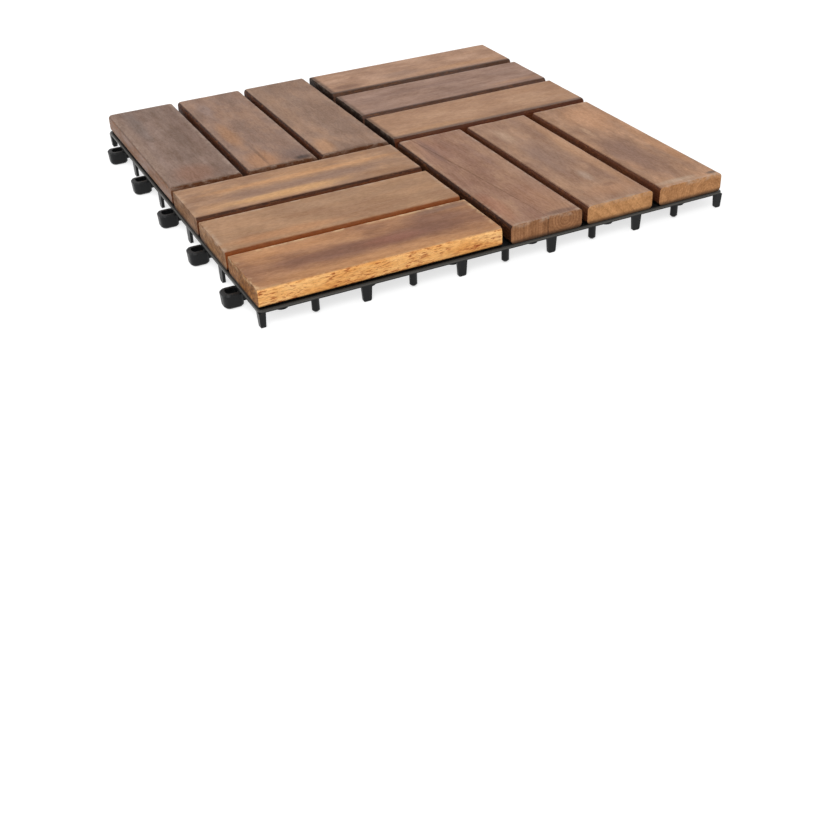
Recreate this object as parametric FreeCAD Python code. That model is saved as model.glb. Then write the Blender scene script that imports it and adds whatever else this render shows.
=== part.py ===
import FreeCAD, Part
import os

# Interlocking deck tile, in millimetres.
# Twelve hardwood slats in four quadrants are screwed from below to one moulded grid base.
# Pegs on the front and right edges drop into loops on the back and left edges of the next tiles.
# Frame: origin on the ground under the middle of the tile, +X to the right, +Y to the back, +Z up.

V = FreeCAD.Vector

# Slats
slat_width = 45.9
slat_thickness = 11.6
slat_gap = 4.2
slats_per_quadrant = 3
quadrant_gap = 5.4
slat_edge_radius = 2.5
slat_end_radius = 1.8

# Base plate, ribs and pillars
base_height = 11.0
rim_reveal = 1.0
rim_thickness = 1.7
rim_corner_radius = 2.4
rim_top_ease = 0.45
skirt_thickness = 2.0
skirt_clearance = 0.7
rib_thickness = 2.0
rib_depth = 3.5
centre_strip_width = 10.0
pillar_edge_inset = 17.8
pillar_top_radius = 4.6
pillar_foot_radius = 4.1
cross_foot_top_radius = 3.4
cross_foot_end_radius = 2.8

# Feet, pegs and loops along the edges
edge_end_inset = 3.8
foot_root_width = 6.2
foot_end_width = 4.8
foot_plate_thickness = 1.8
foot_end_radius = 1.2
corner_foot_root_width = 4.0
corner_foot_end_width = 3.1
peg_radius = 2.2
peg_inset = 3.15
peg_floor_clearance = 0.8
peg_end_ease = 1.0
tile_joint_gap = 0.4
loop_play_outward = 1.35
loop_play_sideways = 0.9
loop_hole_corner_radius = 2.0
loop_wall = 2.6
loop_corner_radius = 4.0
loop_floor_clearance = 0.5
loop_rim_clearance = 0.2
loop_root_depth = 4.5
loop_root_height = 6.0
loop_draft = 0.5
loop_top_ease = 0.8
loop_end_ease = 0.9

# Screws
screw_head_radius = 3.0
screw_head_height = 2.2
screw_head_crown_radius = 1.9
screw_shank_radius = 1.5
screw_length = 12.0
screw_tip_length = 2.6
screw_seat_thickness = 3.0
head_clearance = 0.2
shank_clearance = 0.2
pilot_clearance = 0.05
pilot_end_clearance = 0.4

# Sizes that follow from the ones above
slat_pitch = slat_width + slat_gap
slat_length = slats_per_quadrant * slat_pitch - slat_gap
deck_half = slat_length + quadrant_gap / 2.0
base_half = deck_half + rim_reveal
rim_bottom = base_height - rim_thickness
rib_bottom = base_height - rib_depth
screw_seat = base_height - screw_seat_thickness

# A laid neighbour's peg stands in the middle of the loop, and the loop stops short of its skirt
loop_hole_length = 2 * (peg_radius + loop_play_outward)
loop_hole_width = 2 * (peg_radius + loop_play_sideways)
loop_centre = tile_joint_gap + peg_inset
loop_reach = loop_centre + loop_hole_length / 2.0 + loop_wall
skirt_inset = loop_reach - tile_joint_gap + skirt_clearance
skirt_half = base_half - skirt_inset
grid_half = skirt_half - skirt_thickness

# Ribs stand on a square grid of which every other line carries pillars
pillar_rows = 2 * slats_per_quadrant
rib_steps = pillar_rows - 1
rib_pitch = (deck_half - pillar_edge_inset) / rib_steps
rib_lines = [rib_pitch * i for i in range(-rib_steps, rib_steps + 1)]
pillar_lines = [rib_pitch * i for i in range(-rib_steps, rib_steps + 1, 2)]
cross_foot_lines = [-4.0 * rib_pitch, 0.0, 4.0 * rib_pitch]

# Pegs, loops and edge feet share one spacing, measured from the middle of each edge
edge_steps = 5
edge_pitch = (base_half - edge_end_inset) / edge_steps
peg_stations = [edge_pitch * i for i in (-4, -2, 0, 2, 4)]
foot_stations = [edge_pitch * i for i in (-3, -1, 1, 3)]


def block(x0, x1, y0, y1, z0, z1):
    """Plain block between two corners."""
    return Part.makeBox(x1 - x0, y1 - y0, z1 - z0, V(x0, y0, z0))


def rounded_rectangle(size_x, size_y, radius, z):
    """Closed outline centred on the Z axis, with round corners."""
    arcs = []
    for sign_x, sign_y, start in ((1, 1, 0), (-1, 1, 90), (-1, -1, 180), (1, -1, 270)):
        centre = V(sign_x * (size_x / 2.0 - radius), sign_y * (size_y / 2.0 - radius), z)
        arcs.append(Part.makeCircle(radius, centre, V(0, 0, 1), start, start + 90))
    edges = []
    for i, arc in enumerate(arcs):
        following = arcs[(i + 1) % 4]
        edges.append(arc)
        edges.append(Part.makeLine(arc.Vertexes[-1].Point, following.Vertexes[0].Point))
    return Part.Wire(edges)


def stacked_sections(sections):
    """Solid through rounded rectangles (z, size_x, size_y, radius), straight from one to the next."""
    wires = [rounded_rectangle(size_x, size_y, radius, z) for z, size_x, size_y, radius in sections]
    return Part.makeLoft(wires, True, True)


def moved(shape, x, y, z=0.0):
    """Copy of a shape shifted to a place."""
    copy = shape.copy()
    copy.translate(V(x, y, z))
    return copy


def turned(shape, angle):
    """Copy of a shape turned about the tile's vertical axis."""
    copy = shape.copy()
    copy.rotate(V(0, 0, 0), V(0, 0, 1), angle)
    return copy


def revolved(outline):
    """Solid of revolution about the Z axis from (radius, z) points of a closed outline."""
    points = [V(radius, 0, z) for radius, z in outline]
    face = Part.Face(Part.makePolygon(points + points[:1]))
    return face.revolve(V(0, 0, 0), V(0, 0, 1), 360)


# Slats

def slat_blank():
    """Bar along X with all its edges rounded, its underside at z = 0."""
    half = slat_length / 2.0
    section = rounded_rectangle(slat_thickness, slat_width, slat_edge_radius, -half)
    bar = Part.Face(section).extrude(V(0, 0, slat_length))
    end_edges = [edge for edge in bar.Edges if abs(abs(edge.CenterOfMass.z) - half) < 0.01]
    bar = bar.makeFillet(slat_end_radius, end_edges)
    bar.rotate(V(0, 0, 0), V(0, 1, 0), 90)
    bar.translate(V(0, 0, slat_thickness / 2.0))
    return bar


def slat_places():
    """Node name, middle point and direction of every slat."""
    places = []
    middle = quadrant_gap / 2.0 + slat_length / 2.0
    first = quadrant_gap / 2.0 + slat_width / 2.0
    quadrants = (
        ("front_left", -1, -1, True),
        ("front_right", 1, -1, False),
        ("back_left", -1, 1, False),
        ("back_right", 1, 1, True),
    )
    for name, sign_x, sign_y, along_x in quadrants:
        across_sign = sign_y if along_x else sign_x
        offsets = sorted(across_sign * (first + i * slat_pitch) for i in range(slats_per_quadrant))
        for number, offset in enumerate(offsets, start=1):
            x = sign_x * middle if along_x else offset
            y = offset if along_x else sign_y * middle
            places.append((f"slat_{name}_{number}", x, y, along_x))
    return places


def screw_places(x, y, along_x):
    """The two pillars that hold a slat, one near each of its ends."""
    across = y if along_x else x
    along = x if along_x else y
    row = min(pillar_lines, key=lambda line: abs(line - across))
    side = 1 if along > 0 else -1
    ends = (side * rib_pitch, side * rib_steps * rib_pitch)
    return [(end, row) if along_x else (row, end) for end in ends]


def slat(x, y, along_x):
    """One slat on the base with a pilot hole over each of its pillars."""
    bar = slat_blank()
    if not along_x:
        bar = turned(bar, 90)
    bar = moved(bar, x, y, base_height)
    depth = screw_length - screw_seat_thickness + pilot_end_clearance
    pilot = Part.makeCylinder(screw_shank_radius + pilot_clearance, depth, V(0, 0, base_height))
    holes = [moved(pilot, hole_x, hole_y) for hole_x, hole_y in screw_places(x, y, along_x)]
    return bar.cut(Part.makeCompound(holes))


# Base

def rim():
    """Flat frame round the tile with its top edge eased."""
    size = 2 * base_half
    eased = size - 2 * rim_top_ease
    eased_radius = rim_corner_radius - rim_top_ease
    plate = stacked_sections([
        (rim_bottom, size, size, rim_corner_radius),
        (base_height - rim_top_ease, size, size, rim_corner_radius),
        (base_height, eased, eased, eased_radius),
    ])
    inside = block(-grid_half, grid_half, -grid_half, grid_half, rim_bottom, base_height)
    return plate.cut(inside)


def rib_grid():
    """Skirt and crossing ribs, cut from one slab by the open cells between them."""
    slab = block(-skirt_half, skirt_half, -skirt_half, skirt_half, rib_bottom, base_height)
    starts = [-grid_half] + [line + rib_thickness / 2.0 for line in rib_lines]
    ends = [line - rib_thickness / 2.0 for line in rib_lines] + [grid_half]
    spans = list(zip(starts, ends))
    cells = [block(x0, x1, y0, y1, rib_bottom, base_height) for x0, x1 in spans for y0, y1 in spans]
    return slab.cut(Part.makeCompound(cells))


def centre_strips():
    """Flat cross under the wide gaps between the quadrants."""
    half = centre_strip_width / 2.0
    across = block(-grid_half, grid_half, -half, half, rim_bottom, base_height)
    return across.fuse(turned(across, 90))


def pillar():
    """Tapered round pillar down to the ground."""
    return Part.makeCone(pillar_foot_radius, pillar_top_radius, base_height)


def cross_foot():
    """Slim tapered foot under a crossing of ribs."""
    return Part.makeCone(cross_foot_end_radius, cross_foot_top_radius, base_height)


def foot_profile(root_width, end_width, thickness):
    """Tapered plate along X with round lower corners, from the rim to the ground."""
    root = root_width / 2.0
    end = end_width / 2.0
    radius = foot_end_radius
    outline = Part.makePolygon([
        V(-end, 0, 0), V(end, 0, 0), V(root, 0, rim_bottom), V(-root, 0, rim_bottom), V(-end, 0, 0),
    ])
    plate = Part.Face(outline).extrude(V(0, thickness, 0))
    lower = [edge for edge in plate.Edges
             if abs(edge.CenterOfMass.z) < 0.01 and edge.Length > thickness - 0.01
             and abs(abs(edge.CenterOfMass.x) - end) < 0.01]
    return plate.makeFillet(radius, lower)


def edge_foot():
    """Foot of the front edge, its outer face flush with the rim."""
    plate = foot_profile(foot_root_width, foot_end_width, foot_plate_thickness)
    return moved(plate, 0, -base_half)


def corner_foot():
    """Foot of the front left corner, tapered both ways."""
    width = corner_foot_root_width
    along = foot_profile(width, corner_foot_end_width, width)
    along = moved(along, 0, -width / 2.0)
    foot = along.common(turned(along, 90))
    offset = base_half - width / 2.0
    return moved(foot, -offset, -offset)


def peg():
    """Round peg with an eased end that drops into a loop of the next tile."""
    return revolved([
        (0.0, peg_floor_clearance),
        (peg_radius - peg_end_ease, peg_floor_clearance),
        (peg_radius, peg_floor_clearance + peg_end_ease),
        (peg_radius, rim_bottom),
        (0.0, rim_bottom),
    ])


def loop():
    """Loop of the left edge in one piece with its root under the rim."""
    length = loop_hole_length + 2 * loop_wall
    width = loop_hole_width + 2 * loop_wall
    radius = loop_corner_radius

    def section(z, inset):
        return z, length - 2 * inset, width - 2 * inset, radius - inset

    foot = loop_floor_clearance
    top = rim_bottom - loop_rim_clearance
    body = stacked_sections([
        section(foot, loop_draft + loop_end_ease),
        section(foot + loop_end_ease, loop_draft),
        section(top - loop_top_ease, 0.0),
        section(top, loop_top_ease),
    ])
    body = moved(body, -(base_half + loop_centre), 0)
    side = width / 2.0 - loop_corner_radius / 2.0
    root = block(-base_half, loop_root_depth - base_half, -side, side, rim_bottom - loop_root_height, rim_bottom)
    return body.fuse(root)


def loop_hole():
    """Upright hole through a loop of the left edge, just outside the rim."""
    outline = rounded_rectangle(loop_hole_length, loop_hole_width, loop_hole_corner_radius, 0.0)
    hole = Part.Face(outline).extrude(V(0, 0, rim_bottom))
    return moved(hole, -(base_half + loop_centre), 0)


def screw_hole():
    """Through hole with a deep recess for the head, entered from the ground side."""
    recess = Part.makeCylinder(screw_head_radius + head_clearance, screw_seat)
    through = Part.makeCylinder(screw_shank_radius + shank_clearance, base_height)
    return recess.fuse(through)


def all_screw_places():
    """Every pillar that carries a screw."""
    places = []
    for _, x, y, along_x in slat_places():
        places.extend(screw_places(x, y, along_x))
    return places


def base_grid():
    """The whole moulding."""
    pieces = [rib_grid(), centre_strips()]
    pieces += [moved(pillar(), x, y) for x in pillar_lines for y in pillar_lines]
    pieces += [moved(cross_foot(), x, y) for x in cross_foot_lines for y in cross_foot_lines]
    for angle in (0, 90, 180, 270):
        pieces += [turned(moved(edge_foot(), station, 0), angle) for station in foot_stations]
        pieces.append(turned(corner_foot(), angle))
    for angle in (0, 90):
        pieces += [turned(moved(peg(), station, peg_inset - base_half), angle) for station in peg_stations]
    for angle in (0, -90):
        pieces += [turned(moved(loop(), 0, station), angle) for station in peg_stations]
    body = rim().multiFuse(pieces)
    holes = [moved(screw_hole(), x, y) for x, y in all_screw_places()]
    for angle in (0, -90):
        holes += [turned(moved(loop_hole(), 0, station), angle) for station in peg_stations]
    return body.cut(Part.makeCompound(holes)).removeSplitter()


# Screws

def screw():
    """Pan head screw, head down, its seat at z = 0."""
    return revolved([
        (0.0, -screw_head_height),
        (screw_head_crown_radius, -screw_head_height),
        (screw_head_radius, -screw_head_height / 2.0),
        (screw_head_radius, 0.0),
        (screw_shank_radius, 0.0),
        (screw_shank_radius, screw_length - screw_tip_length),
        (0.0, screw_length),
    ])


def slat_screws():
    """All screws in place, as separate solids."""
    return Part.makeCompound([moved(screw(), x, y, screw_seat) for x, y in all_screw_places()])


def main():
    os.makedirs("parts", exist_ok=True)
    for name, x, y, along_x in slat_places():
        slat(x, y, along_x).exportStep(f"parts/{name}.step")
    base_grid().exportStep("parts/base_grid.step")
    slat_screws().exportStep("parts/slat_screws.step")


main()
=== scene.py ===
import logging
import math
from dataclasses import dataclass, field
from enum import Enum
from typing import Any

import bmesh
import bpy
from mathutils import Euler, Matrix, Vector, noise


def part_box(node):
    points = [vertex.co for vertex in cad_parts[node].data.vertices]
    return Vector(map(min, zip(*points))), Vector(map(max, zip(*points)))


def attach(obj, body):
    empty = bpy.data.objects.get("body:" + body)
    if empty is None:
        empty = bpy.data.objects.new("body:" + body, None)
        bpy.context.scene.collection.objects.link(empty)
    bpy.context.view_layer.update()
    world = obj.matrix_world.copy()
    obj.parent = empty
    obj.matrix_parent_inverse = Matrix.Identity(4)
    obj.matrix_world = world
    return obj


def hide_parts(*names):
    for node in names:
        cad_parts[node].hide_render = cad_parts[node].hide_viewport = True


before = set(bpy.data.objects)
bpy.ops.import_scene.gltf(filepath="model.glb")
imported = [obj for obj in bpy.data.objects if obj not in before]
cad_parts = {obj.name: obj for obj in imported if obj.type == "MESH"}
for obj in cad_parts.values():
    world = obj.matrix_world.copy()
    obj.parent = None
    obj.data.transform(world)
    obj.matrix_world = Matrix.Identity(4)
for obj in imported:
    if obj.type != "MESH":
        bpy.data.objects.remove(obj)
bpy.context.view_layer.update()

LOG = logging.getLogger("deck_tile")
MM = 0.001
TOUCHING = 0.001 * MM
ON_PLANE = 0.0001 * MM
BODY = "root"
ORIGIN = (0.0, 0.0, 0.0)
WHITE = (1.0, 1.0, 1.0)

Colour = tuple[float, float, float]
Span = tuple[float, float]


def tone(red: int, green: int, blue: int) -> Colour:
    """Linear colour of a tone written in screen values.

    Args:
        red: Red from 0 to 255.
        green: Green from 0 to 255.
        blue: Blue from 0 to 255.

    Returns:
        The colour as linear red, green and blue.
    """

    def linear(value: int) -> float:
        """Linear value of one channel."""
        level = value / 255.0
        return level / 12.92 if level <= 0.04045 else ((level + 0.055) / 1.055) ** 2.4

    return linear(red), linear(green), linear(blue)


def scaled(colour: Colour, red: float, green: float, blue: float) -> Colour:
    """A colour with each channel multiplied by its own share."""
    return colour[0] * red, colour[1] * green, colour[2] * blue


# Node graphs

class Value:
    """A node's output. Python's own sums on it place the nodes that work them out."""

    def __init__(self, graph: "Graph", socket: bpy.types.NodeSocket) -> None:
        """Takes hold of an output.

        Args:
            graph: The graph that it is in.
            socket: The output.
        """
        self.graph = graph
        self.socket = socket

    def sum(self, operation: str, first: Any, second: Any = None) -> "Value":
        """Result of a sum, on vectors where this is one and on numbers elsewhere.

        Args:
            operation: Blender's name of the sum.
            first: First part of the sum.
            second: Second part, where the sum has one.

        Returns:
            The result.
        """
        place = self.graph.vector if self.socket.type == "VECTOR" else self.graph.math
        return place(operation, first, second)

    def __add__(self, other: Any) -> "Value":
        """This and the other together."""
        return self.sum("ADD", self, other)

    def __sub__(self, other: Any) -> "Value":
        """This less the other."""
        return self.sum("SUBTRACT", self, other)

    def __rsub__(self, other: Any) -> "Value":
        """The other less this."""
        return self.sum("SUBTRACT", other, self)

    def __mul__(self, other: Any) -> "Value":
        """This times the other."""
        return self.sum("MULTIPLY", self, other)

    def __truediv__(self, other: Any) -> "Value":
        """This divided by the other."""
        return self.sum("DIVIDE", self, other)

    def __pow__(self, other: Any) -> "Value":
        """This to the power of the other."""
        return self.sum("POWER", self, other)

    def __abs__(self) -> "Value":
        """This without its sign."""
        return self.sum("ABSOLUTE", self)


class Graph:
    """Places nodes in one tree and joins them."""

    nodes_in_row = 12
    column_width = 180
    row_height = 220

    def __init__(self, tree: bpy.types.NodeTree) -> None:
        """Starts on an empty tree.

        Args:
            tree: The tree to fill.
        """
        self.tree = tree
        tree.nodes.clear()

    def node(self, kind: str, *values: Any, **settings: Any) -> bpy.types.Node:
        """One new node.

        Args:
            kind: Blender's name of the node type.
            *values: What its first inputs are fed, in order, with None for one that is left alone.
            **settings: Properties set on the node.

        Returns:
            The node.
        """
        new = self.tree.nodes.new(kind)
        row, column = divmod(len(self.tree.nodes), self.nodes_in_row)
        new.location = (self.column_width * column, -self.row_height * row)
        for key, value in settings.items():
            setattr(new, key, value)
        for socket, value in zip(new.inputs, values):
            if value is not None:
                self.feed(socket, value)
        return new

    def feed(self, socket: bpy.types.NodeSocket, value: Any) -> None:
        """Joins an output to an input, or sets the input.

        Args:
            socket: The input.
            value: An output, a number, a vector or a colour.
        """
        if isinstance(value, Value):
            self.tree.links.new(value.socket, socket)
        elif socket.type == "RGBA" and len(value) == 3:
            socket.default_value = (*value, 1.0)
        else:
            socket.default_value = value

    def result(self, kind: str, *values: Any, **settings: Any) -> Value:
        """First output of a new node, whose arguments are those of node."""
        return Value(self, self.node(kind, *values, **settings).outputs[0])

    def outputs(self, node: bpy.types.Node) -> dict[str, Value]:
        """A node's outputs, by name."""
        return {socket.name: Value(self, socket) for socket in node.outputs}

    def math(self, operation: str, first: Any, second: Any = None, clamp: bool = False) -> Value:
        """Result of a sum on one or two numbers.

        Args:
            operation: Blender's name of the sum.
            first: First number or output.
            second: Second number or output, where the sum has one.
            clamp: Whether the result stays from 0 to 1.

        Returns:
            The result.
        """
        return self.result("ShaderNodeMath", first, second, operation=operation, use_clamp=clamp)

    def vector(self, operation: str, first: Any, second: Any = None) -> Value:
        """Result of a sum on vectors that is a vector itself.

        Args:
            operation: Blender's name of the sum.
            first: First vector or output.
            second: Second vector or output, where the sum has one.

        Returns:
            The result.
        """
        return self.result("ShaderNodeVectorMath", first, second, operation=operation)

    def combine(self, x: Any = 0.0, y: Any = 0.0, z: Any = 0.0) -> Value:
        """Vector from three numbers or outputs."""
        return self.result("ShaderNodeCombineXYZ", x, y, z)

    def length(self, x: Any, y: Any) -> Value:
        """Length of a vector whose two parts are numbers or outputs."""
        measured = self.node("ShaderNodeVectorMath", self.combine(x, y), operation="LENGTH")
        return Value(self, measured.outputs["Value"])

    def split(self, vector: Value) -> tuple[Value, ...]:
        """The three parts of a vector."""
        return tuple(self.outputs(self.node("ShaderNodeSeparateXYZ", vector)).values())

    def noise(self, vector: Value, detail: float = 2.0, roughness: float = 0.5) -> Value:
        """Soft noise about 0.5 with features about one unit wide.

        Args:
            vector: Where it is read.
            detail: Number of finer layers.
            roughness: Weight of the finer layers.

        Returns:
            The noise's value.
        """
        new = self.node("ShaderNodeTexNoise", vector)
        new.inputs["Scale"].default_value = 1.0
        new.inputs["Detail"].default_value = detail
        new.inputs["Roughness"].default_value = roughness
        return Value(self, new.outputs["Fac"])

    def remap(self, value: Value, low: Any, high: Any, to_low: Any = 0.0, to_high: Any = 1.0) -> Value:
        """Takes a value from one range to another, easing in and out, and keeps it inside that.

        Args:
            value: The value.
            low: Start of the first range.
            high: End of the first range.
            to_low: Start of the second range.
            to_high: End of the second range.

        Returns:
            The new value.
        """
        return self.result("ShaderNodeMapRange", value, low, high, to_low, to_high,
                           interpolation_type="SMOOTHSTEP")

    def mix(self, factor: Any, first: Any, second: Any, blend: str = "MIX") -> Value:
        """Mixes two colours.

        Args:
            factor: Share of the second, from 0 to 1.
            first: First colour or output.
            second: Second colour or output.
            blend: Blender's name of the way of mixing.

        Returns:
            The colour.
        """
        colours = (None,) * 5 + (first, second)
        new = self.node("ShaderNodeMix", factor, *colours, data_type="RGBA", blend_type=blend)
        return Value(self, new.outputs[2])

    def ramp(self, value: Value, stops: list[tuple[float, Colour]]) -> Value:
        """Colour along a scale.

        Args:
            value: The place on the scale, from 0 to 1.
            stops: Places and their colours, in order.

        Returns:
            The colour.
        """
        new = self.node("ShaderNodeValToRGB", value)
        elements = new.color_ramp.elements
        while len(elements) < len(stops):
            elements.new(0.5)
        for element, (place, colour) in zip(elements, stops):
            element.position = place
            element.color = (*colour, 1.0)
        return Value(self, new.outputs[0])


def in_millimetres(place: Value) -> Value:
    """A place in millimetres, from one in metres."""
    return place * (1.0 / MM, 1.0 / MM, 1.0 / MM)


@dataclass(frozen=True)
class Layer:
    """A layer of noise, with its features per millimetre each way and the levels it rises between."""

    along: float
    across: float
    height: float
    detail: float = 2.0
    roughness: float = 0.5
    start: float = 0.30
    full: float = 0.70

    def read(self, place: Value, shift: Value) -> Value:
        """The noise about 0.5.

        Args:
            place: Where it is read, in millimetres.
            shift: How far its pattern is moved.

        Returns:
            The noise.
        """
        drawn = place * (self.along, self.across, self.height) + shift
        return place.graph.noise(drawn, self.detail, self.roughness)

    def mask(self, place: Value, shift: Value, least: float = 0.0) -> Value:
        """The noise as a mask.

        Args:
            place: Where it is read, in millimetres.
            shift: How far its pattern is moved.
            least: The mask's lowest value.

        Returns:
            The mask, up to 1.
        """
        return place.graph.remap(self.read(place, shift), self.start, self.full, least)


# Effects that materials share

class SharedEffect:
    """A node group that is made once and placed in several materials."""

    title = ""
    takes: dict[str, float] = {}
    gives: tuple[str, ...] = ()
    trees: dict[str, bpy.types.NodeTree] = {}

    def tree(self) -> bpy.types.NodeTree:
        """The group's tree, made the first time it is asked for.

        Returns:
            The tree, which takes a vector and the named numbers and gives numbers.
        """
        if self.title not in self.trees:
            made = bpy.data.node_groups.new(self.title, "ShaderNodeTree")
            made.interface.new_socket("Vector", in_out="INPUT", socket_type="NodeSocketVector")
            for name, value in self.takes.items():
                socket = made.interface.new_socket(name, in_out="INPUT", socket_type="NodeSocketFloat")
                socket.default_value = value
            for name in self.gives:
                made.interface.new_socket(name, in_out="OUTPUT", socket_type="NodeSocketFloat")
            graph = Graph(made)
            taken = graph.outputs(graph.node("NodeGroupInput"))
            graph.node("NodeGroupOutput", *self.fill(graph, taken))
            self.trees[self.title] = made
        return self.trees[self.title]

    def fill(self, graph: Graph, taken: dict[str, Value]) -> tuple[Value, ...]:
        """Fills the group.

        Args:
            graph: The group's graph.
            taken: What the group takes, by name.

        Returns:
            What the group gives, in order.
        """
        raise NotImplementedError

    def place(self, graph: Graph, **values: Any) -> dict[str, Value]:
        """Places the group in a material.

        Args:
            graph: The material's graph.
            **values: Inputs by name, with underscores for spaces.

        Returns:
            What the placed group gives, by name.
        """
        new = graph.node("ShaderNodeGroup", node_tree=self.tree())
        for name, value in values.items():
            graph.feed(new.inputs[name.replace("_", " ")], value)
        return graph.outputs(new)


class TimberGrain(SharedEffect):
    """Growth rings, streaks, fibres and pores of a sawn bar whose length is along X.

    The bar may be glued up from two pieces, and past the joint the rings are those of the second.
    """

    title = "timber grain"
    takes = {"Seed": 0.0, "Pith Across": 20.0, "Pith Height": -40.0, "Ring Width": 4.0, "Taper": 0.05,
             "Waviness": 4.0, "Joint Across": -500.0, "Joint Slope": 0.0}
    gives = ("Cloud", "Rings", "Streaks", "Fibres", "Pores", "Flecks", "Joint", "Height")

    seed_steps = (17.3, 9.1, 5.7)
    bend = Layer(0.010, 0.012, 0.03)
    sway = Layer(0.035, 0.05, 0.05, detail=1.0)
    bend_share = 2.0
    sway_share = 0.35
    glued_pith = -210.0

    changes_per_year = 0.45
    year_section = 3.0
    year_roughness = 0.6
    year_drift = 1.6
    late_sharpness = 3.0
    late_depth = 0.75
    late_rise = (0.35, 0.65, 0.35, 1.0)
    early_rise = (0.3, 0.7, 0.15, 0.95)

    streaks = Layer(0.035, 0.17, 0.17, detail=5.0, roughness=0.65)
    fibres = Layer(0.30, 0.85, 0.85, detail=4.0, roughness=0.7)
    pores = Layer(0.35, 2.0, 2.0, start=0.60, full=0.72)
    clumps = Layer(0.06, 0.20, 0.20, detail=3.0, start=0.40, full=0.60)
    flecks = Layer(0.26, 0.95, 1.4, detail=5.0, roughness=0.66, start=0.49, full=0.60)
    cloud = Layer(0.035, 0.06, 0.06, detail=5.0, roughness=0.62)
    clump_least = 0.4
    joint_line = (0.15, 0.55)
    fibre_height = 0.6
    ring_height = 0.4
    pore_depth = 0.5

    def fill(self, graph: Graph, taken: dict[str, Value]) -> tuple[Value, ...]:
        """Fills the group.

        Args:
            graph: The group's graph.
            taken: What the group takes, by name.

        Returns:
            What the group gives, in order.
        """
        seed, waviness = taken["Seed"], taken["Waviness"]
        place = in_millimetres(taken["Vector"])
        shift = graph.combine(*(seed * step for step in self.seed_steps))
        bend = (self.bend.read(place, shift) - 0.5) * (waviness * self.bend_share)
        sway = (self.sway.read(place, shift) - 0.5) * (waviness * self.sway_share)
        swayed = place + graph.combine(0.0, bend + sway, bend)
        along, across, height = graph.split(swayed)

        joint = taken["Joint Across"] + along * taken["Joint Slope"]
        past = graph.math("LESS_THAN", across, joint)
        pith = graph.result("ShaderNodeMix", past, None, taken["Pith Across"], self.glued_pith,
                            data_type="FLOAT")
        reach = graph.length(across - pith, height - taken["Pith Height"]) + along * taken["Taper"]
        years = reach / taken["Ring Width"]
        change = graph.combine(years * self.changes_per_year, seed, self.year_section)
        uneven = graph.noise(change, roughness=self.year_roughness)
        years = years + uneven * self.year_drift
        late = graph.math("FRACT", years) ** self.late_sharpness * graph.remap(uneven, *self.late_rise)
        rings = graph.remap(uneven, *self.early_rise) - late * self.late_depth

        streaks, fibres, pores, flecks, cloud = (
            layer.mask(swayed, shift)
            for layer in (self.streaks, self.fibres, self.pores, self.flecks, self.cloud))
        flecks = flecks * self.clumps.mask(swayed, shift, self.clump_least)
        joint_mask = graph.remap(abs(across - joint), *self.joint_line, 1.0, 0.0)
        level = fibres * self.fibre_height + rings * self.ring_height - pores * self.pore_depth
        return cloud, rings, streaks, fibres, pores, flecks, joint_mask, level


class StainPatch(SharedEffect):
    """Mask of one soft-edged patch on a bar, drawn out by the grain."""

    title = "stain patch"
    takes = {"Along": 0.0, "Across": 0.0, "Half Length": 20.0, "Half Width": 8.0, "Raggedness": 0.9}
    gives = ("Mask",)

    drawn = Layer(0.045, 0.12, 0.05, detail=4.0, roughness=0.62)
    fade = (0.35, 1.35)

    def fill(self, graph: Graph, taken: dict[str, Value]) -> tuple[Value, ...]:
        """Fills the group.

        Args:
            graph: The group's graph.
            taken: What the group takes, by name.

        Returns:
            What the group gives, in order.
        """
        place = in_millimetres(taken["Vector"])
        along, across, _ = graph.split(place)
        far = (along - taken["Along"]) / taken["Half Length"]
        wide = (across - taken["Across"]) / taken["Half Width"]
        shift = graph.combine(taken["Along"], taken["Across"])
        ragged = (self.drawn.read(place, shift) - 0.5) * taken["Raggedness"]
        return (graph.remap(graph.length(far, wide) + ragged, *self.fade, 1.0, 0.0),)


class EdgeWearAndHighlight(SharedEffect):
    """Mask of a bar's upper edges, pale from rubbing and with a painted highlight on the arrises, broken up
    by noise.
    """

    title = "edge wear"
    takes = {"Seed": 0.0, "Half Length": 73.0, "Half Width": 23.0, "Half Thickness": 5.8, "Reach": 3.6}
    gives = ("Mask",)

    rub_and_highlight = Layer(0.16, 0.16, 0.3, detail=4.0, roughness=0.65, start=0.42, full=0.66)
    section = 4.0

    def fill(self, graph: Graph, taken: dict[str, Value]) -> tuple[Value, ...]:
        """Fills the group.

        Args:
            graph: The group's graph.
            taken: What the group takes, by name.

        Returns:
            What the group gives, in order.
        """
        place = in_millimetres(taken["Vector"])
        along, across, height = graph.split(place)
        end = taken["Half Length"] - abs(along)
        side = taken["Half Width"] - abs(across)
        from_edge = graph.math("MINIMUM", end, side) + (taken["Half Thickness"] - height)
        near = graph.remap(from_edge, 0.0, taken["Reach"], 1.0, 0.0)
        return (near * self.rub_and_highlight.mask(place, graph.combine(taken["Seed"], 0.0, self.section)),)


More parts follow.
